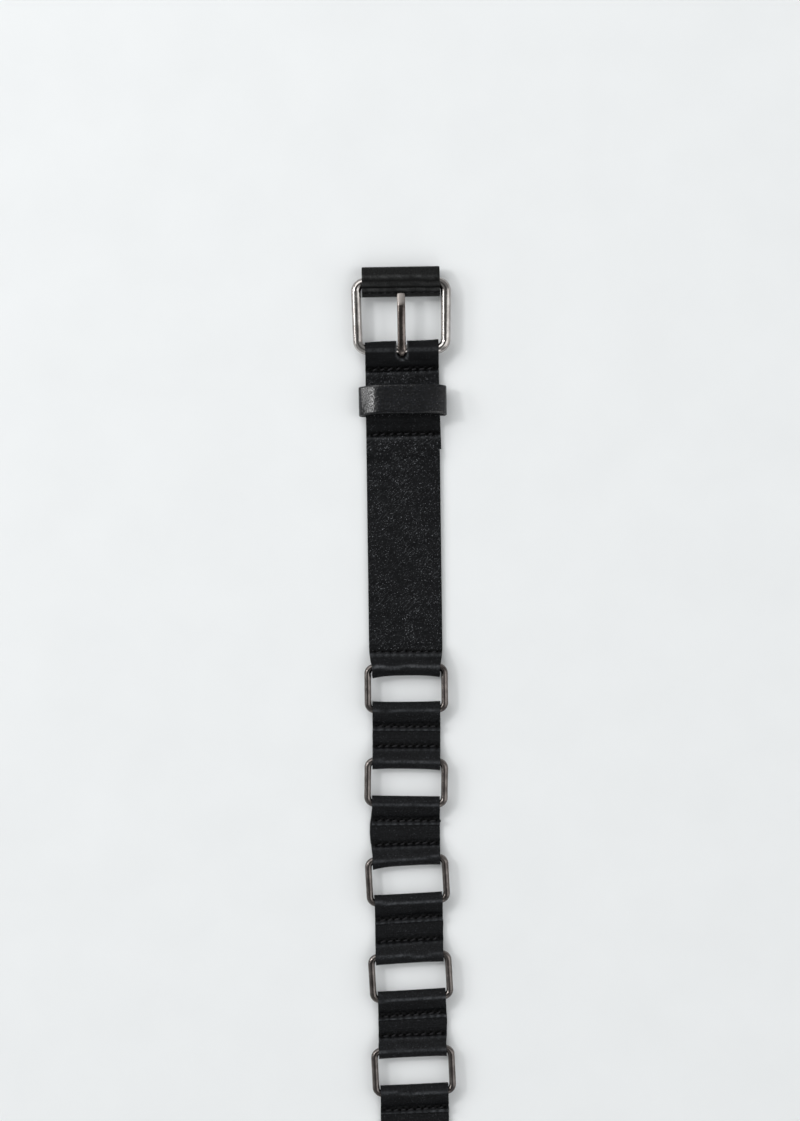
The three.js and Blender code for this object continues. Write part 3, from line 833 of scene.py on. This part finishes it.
bmesh.ops.remove_doubles(mesh, verts=mesh.verts, dist=0.01)
keeper = finish_sheet(mesh, "keeper_leather", "belt", smooth_leather, KEEPER_BAND)
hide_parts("keeper")

# Buckle frame. One closed rectangle of polished round wire, bent to soft corners and a little wider
# at the bar that carries the sleeve. The strap's fold turns round its lower bar.
BAR_SPACING = 27.5
FRAME_SIDE_GAP = 0.9  # from the strap's edge to the frame's leg
FRAME_WIDTH = STRAP_WIDTH + 2 * FRAME_SIDE_GAP + FRAME_WIRE
FRAME_FLARE = 1.2  # how much wider it is at its upper bar
FRAME_CORNER = 3.7
FRAME_SIDES, RING_SIDES = 20, 16  # of the wires' round sections
CORNER_STEPS = 10


def sweep(mesh, rim, centre=(0, 0, 0), axis=(0, 0, 1), angle=0.0, step=(0, 0, 0), steps=1):
    """Carries an open rim round an axis or along a step, and returns the rim's new edges."""
    grown = bmesh.ops.spin(
        mesh, geom=rim, cent=centre, axis=axis, dvec=step, angle=angle, steps=steps, use_duplicate=False
    )
    return [item for item in grown["geom_last"] if isinstance(item, bmesh.types.BMEdge)]


def wire_rectangle(width, length, corner, wire, sides):
    """A closed rectangle of round wire round the origin. Width and length are its centreline's."""
    mesh = bmesh.new()
    upright = Matrix.Translation((width / 2, 0, 0)) @ Matrix.Rotation(math.pi / 2, 4, "X")
    bmesh.ops.create_circle(mesh, segments=sides, radius=wire / 2, matrix=upright)
    rim = list(mesh.edges)
    long_side, short_side = length / 2 - corner, width / 2 - corner
    rim = sweep(mesh, rim, step=(0, long_side, 0))
    steps = [(-2 * short_side, 0, 0), (0, -2 * long_side, 0), (2 * short_side, 0, 0), (0, long_side, 0)]
    for (x, y), step in zip([(1, 1), (-1, 1), (-1, -1), (1, -1)], steps):
        centre = (x * short_side, y * long_side, 0)
        rim = sweep(mesh, rim, centre=centre, angle=math.pi / 2, steps=CORNER_STEPS)
        rim = sweep(mesh, rim, step=step)
    bmesh.ops.remove_doubles(mesh, verts=mesh.verts, dist=0.001)
    return mesh


def wire_metal(name, dark, light, rough):
    """Polished antique nickel, with faint cloudy tarnish and fine rubbing marks."""
    finish = Finish(name, Metallic=1.0)
    cloud = finish.speckle(0.004, detail=4)
    rubbing = finish.speckle((0.0004, 0.003, 0.0004), detail=3, seed=3)
    pressed = finish.painted("pressed")
    polished = finish.blend(cloud.between(0.3, 0.7), dark, light)
    finish.give(
        Base_Color=finish.blend(pressed * (0.5 + 0.5 * cloud), polished, shade(170, 164, 160)),
        Roughness=rough + 0.08 * cloud + 0.08 * rubbing + 0.3 * pressed,
        Normal=finish.bump(rubbing, 0.000006, Normal=finish.bump(cloud, 0.00004)),
    )
    return finish.material


buckle_metal = wire_metal("antique_nickel_buckle", shade(158, 153, 150), shade(188, 184, 181), 0.08)

mesh = wire_rectangle(FRAME_WIDTH, BAR_SPACING, FRAME_CORNER, FRAME_WIRE, FRAME_SIDES)
bmesh.ops.translate(mesh, verts=mesh.verts, vec=(0, BAR_SPACING / 2, FRAME_HEIGHT))
for vert in mesh.verts:
    vert.co.x *= 1 + vert.co.y / BAR_SPACING * FRAME_FLARE / FRAME_WIDTH
buckle_frame = finish_piece(mesh, "buckle_wire", "buckle", [buckle_metal])
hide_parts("buckle_frame")

# Sleeve. A piece of the grained leather folded loosely over the frame's upper bar. Both cut ends are
# sewn together just below the bar, and its face is creased across where it bulges over the wire, with
# painted highlights on the crests and painted shade in the valleys.
SLEEVE_WIDTH = 31.8
SLEEVE_ABOVE = 6.3
SLEEVE_BELOW = 5.95
SLEEVE_SEAM = 2.1
SLEEVE_BEND = 2.2 - WALL  # of the layer's middle at the fold above the bar
SLEEVE_APART = 0.1 + WALL  # from the layer's middle to the sleeve's, where it is sewn
SLEEVE_ROW = 23.1
SLEEVE_CREASES = [  # y, half the width and height, which is below 0 for a valley
    (29.3, 0.45, 0.22),
    (27.7, 0.7, -0.55),
    (26.5, 0.4, 0.14),
    (25.5, 0.45, -0.55),
    (24.4, 0.5, 0.34),
]
CREST_HIGHLIGHT, VALLEY_SHADE = 3.2, 1.3  # painted highlight on a crest and painted shade in a valley, for each millimetre that a crease rises or sinks

sleeve_leather = leather(
    "sleeve_leather", shade(22, 23, 22), shade(120, 121, 122), 0.0006, 0.00006, 0.44, wave=0.00016,
    specks=0.15, gloss=0.1,
)


# Creases the sleeve's face across, with a painted highlight on each crest and painted shade in each
# valley.
def crease_face(mesh):
    light = marks(mesh, "lit_ridge")
    dark = marks(mesh, "groove")
    for vert in mesh.verts:
        if vert.co.z < FRAME_HEIGHT:
            continue
        off = vert.co.y - 0.5 * waver(vert.co.x, 8, 0, 6)
        for y, width, rise in SLEEVE_CREASES:
            line = hump(off - y, width)
            vert.co.z += rise * line
            if rise > 0:
                patchy = 0.6 + 0.6 * waver(vert.co.x, 3, y, 2)
                vert[light] = max(vert[light], CREST_HIGHLIGHT * rise * line * patchy)
            else:
                vert[dark] = max(vert[dark], -VALLEY_SHADE * rise * line)


back_z, face_z = FRAME_HEIGHT - SLEEVE_APART, FRAME_HEIGHT + SLEEVE_APART
seam_y = BAR_SPACING - SLEEVE_BELOW
flat_y = seam_y + SLEEVE_SEAM
fold_y = SLEEVE_ABOVE - SLEEVE_BEND - WALL
lean = math.pi / 2 - math.asin((FRAME_BEND - SLEEVE_BEND) / fold_y)
away = Vector((flat_y - BAR_SPACING, SLEEVE_APART))
touch = math.atan2(away.y, away.x) - math.acos(FRAME_BEND / away.length)
route = Route(seam_y, back_z)
route.line(flat_y, back_z)
route.arc(BAR_SPACING, FRAME_HEIGHT, FRAME_BEND, -touch, -lean)
route.arc(BAR_SPACING + fold_y, FRAME_HEIGHT, SLEEVE_BEND, -lean, lean)
route.arc(BAR_SPACING, FRAME_HEIGHT, FRAME_BEND, lean, touch)
route.line(flat_y, face_z)
busy = [route.line(SLEEVE_ROW, face_z)]
route.line(seam_y, face_z)
mesh = strip_sheet(route, SLEEVE_WIDTH, (0.45, 0.5), busy)
wall_weights(mesh)
bend_along(mesh, route)
crease_face(mesh)
sleeve_holes = needle_holes(SLEEVE_ROW, SLEEVE_WIDTH, STRAP_PITCH, chance)
press_stitches(mesh, sleeve_holes, STRAP_PITCH, FRAME_HEIGHT + 0.5, groove=0.14, lit_lip=0.04)
sleeve = finish_sheet(mesh, "sleeve_on_bar", "buckle", sleeve_leather)
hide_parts("bar_sleeve")
sew("sleeve_stitches", "buckle", [sleeve_holes], face_z + WALL, chance)

# Tongue. A metal prong, almost round. Its root is rolled round the frame's lower bar into an eye, and
# its end is pressed flat, bends down a little and rests on the sleeve.
TONGUE_WIDTH = 3.3
TONGUE_SIDES = 24
TONGUE_SQUARENESS = 0.72  # of its section: 1 is an ellipse
EYE_WALL = 1.2
EYE_RADIUS = FRAME_WIRE / 2 + CLEARANCE + EYE_WALL / 2
EYE_START = math.radians(28)
EYE_TURN = EYE_START + 1.5 * math.pi
EYE_STEPS = 30
ROOT_TAPER = 0.32  # of the eye's width where it goes down through the slot
TAPER_FROM = 0.6
PRESSED_FROM, PRESSED_TO = 17.6, 18.8  # where the round arm passes into the flat tip
TONGUE_STATIONS = [  # y, height of the middle, thickness and width
    (1.8, 6.62, 1.55, 3.3),
    (3.6, 6.48, 2.05, 3.3),
    (6.5, 6.6, 2.2, 3.3),
    (12.0, 6.87, 2.2, 3.3),
    (17.4, 7.12, 2.2, 3.3),
    (18.2, 7.08, 2.05, 3.3),
    (19.2, 6.95, 1.8, 3.35),
    (21.9, 6.66, 1.6, 3.35),
    (22.6, 6.62, 1.4, 3.1),
    (22.8, 6.6, 1.1, 2.7),
]

tongue_metal = wire_metal("antique_nickel_tongue", shade(84, 77, 74), shade(116, 108, 104), 0.15)

mesh = bmesh.new()
bmesh.ops.create_circle(mesh, segments=TONGUE_SIDES, radius=1)
for vert in mesh.verts:
    x, y = (math.copysign(abs(share) ** TONGUE_SQUARENESS, share) for share in vert.co.xy)
    vert.co = (x * TONGUE_WIDTH / 2, y * EYE_WALL / 2, 0)
bmesh.ops.translate(mesh, verts=mesh.verts, vec=(0, EYE_RADIUS, 0))
bmesh.ops.rotate(mesh, verts=mesh.verts, cent=(0, 0, 0), matrix=Matrix.Rotation(EYE_START, 3, "X"))
rim = sweep(mesh, list(mesh.edges), axis=(-1, 0, 0), angle=EYE_TURN, steps=EYE_STEPS)
bmesh.ops.translate(mesh, verts=mesh.verts, vec=(0, 0, FRAME_HEIGHT))
middle = Vector((0, 0, FRAME_HEIGHT + EYE_RADIUS))
thickness, width = EYE_WALL, TONGUE_WIDTH
for y, z, next_thickness, next_width in TONGUE_STATIONS:
    place = Vector((0, y, z))
    rim = sweep(mesh, rim, step=place - middle)
    verts = list({vert for edge in rim for vert in edge.verts})
    stretch = (next_width / width, 1, next_thickness / thickness)
    bmesh.ops.scale(mesh, verts=verts, vec=stretch, space=Matrix.Translation(-place))
    middle, thickness, width = place, next_thickness, next_width
bmesh.ops.edgeloop_fill(mesh, edges=rim)
pressed = marks(mesh, "pressed")
for vert in mesh.verts:
    vert[pressed] = part_way(vert.co.y, PRESSED_FROM, PRESSED_TO)
    vert.co.x *= 1 - ROOT_TAPER * part_way(vert.co.y, TAPER_FROM, TAPER_FROM - EYE_RADIUS) ** 2
tongue = finish_piece(mesh, "tongue_prong", "tongue", [tongue_metal])
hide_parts("buckle_tongue")

# Rings. Sixteen closed rectangles of thinner, darker wire. Those in view lie a little askew, and the
# ones beyond them straight.
RING_SIDE_GAP = 0.45  # from a link's edge to the ring's leg
RING_WIDTH = LINK_WIDTH + 2 * RING_SIDE_GAP + RING_WIRE
RING_CORNER = 2.7
RING_COUNT = sum(name.startswith("ring_") for name in frame["nodes"])

ring_metal = wire_metal("antique_nickel_rings", shade(84, 79, 77), shade(116, 110, 107), 0.17)

for number in range(1, RING_COUNT + 1):
    x, y, turn = ring_place(number)
    mesh = wire_rectangle(RING_WIDTH, 2 * RING_HALF, RING_CORNER, RING_WIRE, RING_SIDES)
    place = Matrix.Translation((x, y, RING_HEIGHT)) @ Matrix.Rotation(turn, 4, "Z")
    bmesh.ops.transform(mesh, matrix=place, verts=mesh.verts)
    ring = finish_piece(mesh, f"ring_wire_{number:02d}", "belt", [ring_metal])
    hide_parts(f"ring_{number:02d}")

# Links. Fifteen short strips of smoother leather, each folded round two rings. Both ends come back
# over the face, are sewn down with one row each and leave a narrow gap in which the back shows.
LINK_PITCH = 3.07
LINK_ROW_UPPER = 10.1  # from the upper fold's edge
LINK_ROW_LOWER = 9.5  # from the lower fold's edge
LINK_BACK_SLIP = {2: -1.0, 4: 0.4}  # how far a link's back layer slips sideways
UPPER_EASE, LOWER_EASE = 0.6, 0.72  # how much looser than the ring's wire its folds are
LINK_FOLD_BOW = {2: (-1.4, -0.3, -0.7), 3: (-0.9, -0.7, -1.0)}  # of a link's lower fold, as in bow_edge
EDGE_WAVER, FACE_WAVER = 0.12, 0.1  # how uneven a link's sides and face are

link_leather = leather(
    "smooth_link_leather", shade(19, 20, 22), shade(130, 133, 138), 0.0006, 0.00009, 0.46, wave=0.0003,
    specks=0.25, gloss=0.09,
)


def link_route(upper_y, lower_y):
    """A link from cut end to cut end, with its busy places and where its two rows are."""
    upper_cut = upper_y + FOLD - FLAP_LENGTH
    lower_cut = lower_y - FOLD + FLAP_LENGTH
    upper_row = upper_y + FOLD - LINK_ROW_UPPER
    lower_row = lower_y - FOLD + LINK_ROW_LOWER
    route = Route(upper_cut, UPPER_Z)
    busy = [route.line(upper_row, UPPER_Z)]
    busy.append(route.line(upper_cut + FLAP_SEAM, UPPER_Z))
    route.fold_over(upper_y, RING_HEIGHT, RING_BEND, 1, upper_cut + FLAP_SEAM, False)
    route.line(lower_y, LOWER_Z)
    route.fold_over(lower_y, RING_HEIGHT, RING_BEND, -1, lower_cut - FLAP_SEAM, True)
    route.line(lower_cut - FLAP_SEAM, UPPER_Z)
    busy.append(route.line(lower_row, UPPER_Z))
    route.line(lower_cut, UPPER_Z)
    return route, busy, upper_row, lower_row


def make_uneven(mesh, number, upper_y, lower_y, slip):
    """Lets a link's back slip sideways and its sides and face waver, and darkens its upper fold."""
    dark = marks(mesh, "groove")
    edge_y = upper_y + FOLD
    for vert in mesh.verts:
        share = (upper_y - vert.co.y) / (upper_y - lower_y)
        if vert.co.z < LOWER_TO and 0 < share < 1:
            outward = max(vert.co.x * math.copysign(2, slip) / LINK_WIDTH, 0.0)
            vert.co.x += slip * outward * math.sin(math.pi * share) ** 2
        vert.co.x += EDGE_WAVER * waver(vert.co.y, 3, math.copysign(5, vert.co.x), number)
        if vert.co.z > UPPER_Z + 0.05:
            vert.co.z += FACE_WAVER * waver(vert.co.x, 7, vert.co.y / 2.5, number)
        vert[dark] = max(vert[dark], 0.5 * part_way(vert.co.y, edge_y - 1.2, edge_y - 0.2))


for number in range(1, RING_COUNT):
    chance = random.Random(100 + number)
    upper, lower = bar_place(number, -1), bar_place(number + 1, 1)
    upper_edge, lower_edge = upper[1] + FOLD, lower[1] - FOLD
    route, busy, upper_row, lower_row = link_route(upper[1], lower[1])
    mesh = strip_sheet(route, LINK_WIDTH, (0.52, 0.75), busy)
    wall_weights(mesh)
    bend_along(mesh, route)
    rows = [needle_holes(y, LINK_WIDTH, LINK_PITCH, chance) for y in (upper_row, lower_row)]
    press_stitches(mesh, rows[0], LINK_PITCH, UPPER_FROM, lit_lip=0.2)
    press_stitches(mesh, rows[1], LINK_PITCH, UPPER_FROM, lit_lip=0.08)
    skive_end(mesh, upper_edge - FLAP_LENGTH, upper_row)
    skive_end(mesh, lower_edge + FLAP_LENGTH, lower_row)
    ridge_and_highlight(mesh, upper[1] - 0.4, width=0.35, amount=chance.uniform(0.6, 0.95), height=0.08, bow=0.8)
    ridge_and_highlight(mesh, lower[1] + 0.1, width=0.35, amount=chance.uniform(0.45, 0.8), height=0.08, bow=0.8)
    corner = chance.uniform(-0.4, 0.1)
    upper_bow = (UPPER_EASE - corner, UPPER_EASE, UPPER_EASE - corner / 2)
    lower_bow = (corner - LOWER_EASE, 0.1 - LOWER_EASE, corner - LOWER_EASE)
    bow_edge(mesh, upper_edge, 1, *upper_bow)
    bow_edge(mesh, lower_edge, -1, *LINK_FOLD_BOW.get(number, lower_bow))
    slip = LINK_BACK_SLIP.get(number, chance.uniform(-0.35, 0.35))
    make_uneven(mesh, number, upper[1], lower[1], slip)
    lay_between(mesh, upper, lower)
    link = finish_sheet(mesh, f"link_leather_{number:02d}", "belt", link_leather)
    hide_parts(f"link_{number:02d}")
    sew(f"link_stitches_{number:02d}", "belt", rows, TOP, chance, (upper, lower))

# Punched end. A plain strip of the grained leather folded round the last ring and sewn down. It has
# five round holes for the tongue and is cut to a blunt point.
TIP_LENGTH = 185
TIP_TAPER = 22
TIP_ROUNDNESS = 0.45
HOLE_COUNT = 5
HOLE_PITCH = 25
HOLE_FROM_TIP = 45
HOLE_RADIUS = TONGUE_WIDTH / 2 + 0.45
CORNER_SHARE = 0.29  # of the point's outline, where the sheet's corner comes to lie


def tip_outline(share):
    """The point's cut edge as (x, distance past the shoulder), from its right side to its left."""
    half = STRAP_WIDTH / 2
    bulge = TIP_TAPER * TIP_ROUNDNESS
    near = min(share, 1 - share) * 2
    side = 1 if share < 0.5 else -1
    ends = [(half, 0), (half, bulge), (half * TIP_ROUNDNESS, TIP_TAPER), (0, TIP_TAPER)]
    rest = 1 - near
    weights = (rest**3, 3 * rest**2 * near, 3 * rest * near**2, near**3)
    x = sum(weight * end[0] for weight, end in zip(weights, ends))
    return Vector((side * x, sum(weight * end[1] for weight, end in zip(weights, ends))))


def point_end(mesh, shoulder):
    """Draws a flat sheet's square end in to the point's outline."""
    half = STRAP_WIDTH / 2
    for vert in mesh.verts:
        past = vert.co.y - shoulder
        if past <= 0:
            continue
        across_share, along_share = abs(vert.co.x) / half, past / TIP_TAPER
        if across_share > along_share:
            share = CORNER_SHARE * along_share / across_share
            share = share if vert.co.x > 0 else 1 - share
        else:
            share = 0.5 - (0.5 - CORNER_SHARE) * vert.co.x / half / along_share
        place = tip_outline(share)
        reach = max(across_share, along_share)
        vert.co.x = place.x * reach
        vert.co.y = shoulder + place.y * reach


chance = random.Random(77)
last_bar = bar_place(RING_COUNT, -1)
flap_cut = last_bar[1] + FOLD - FLAP_LENGTH
flap_flat = flap_cut + FLAP_SEAM
row_by_ring = flap_cut + FLAP_ROW
tip_y = last_bar[1] + FOLD - TIP_LENGTH
route = Route(flap_cut, UPPER_Z)
busy = [route.line(row_by_ring, UPPER_Z), route.line(flap_flat, UPPER_Z)]
route.fold_over(last_bar[1], RING_HEIGHT, RING_BEND, 1, flap_flat, False)
end_length = route.line(tip_y, LOWER_Z)
holes_at = [end_length - HOLE_FROM_TIP - i * HOLE_PITCH for i in range(HOLE_COUNT)]
mesh = strip_sheet(route, STRAP_WIDTH, (0.5, 0.8), busy + holes_at)
for place in holes_at:
    open_slot(mesh, place, place, HOLE_RADIUS)
wall_weights(mesh)
point_end(mesh, end_length - TIP_TAPER)
bend_along(mesh, route)
end_holes = needle_holes(row_by_ring, NARROWED_WIDTH, STRAP_PITCH, chance)
press_stitches(mesh, end_holes, STRAP_PITCH, UPPER_FROM)
skive_end(mesh, flap_cut, row_by_ring)
ridge_and_highlight(mesh, last_bar[1], width=0.4, amount=0.5, height=0.07, bow=0.7)
narrow_to_fold(mesh, last_bar[1], 1)
punched_end = finish_sheet(mesh, "punched_end_leather", "belt", grained_leather)
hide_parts("punched_end")
sew("punched_end_stitches", "belt", [end_holes], TOP, chance)
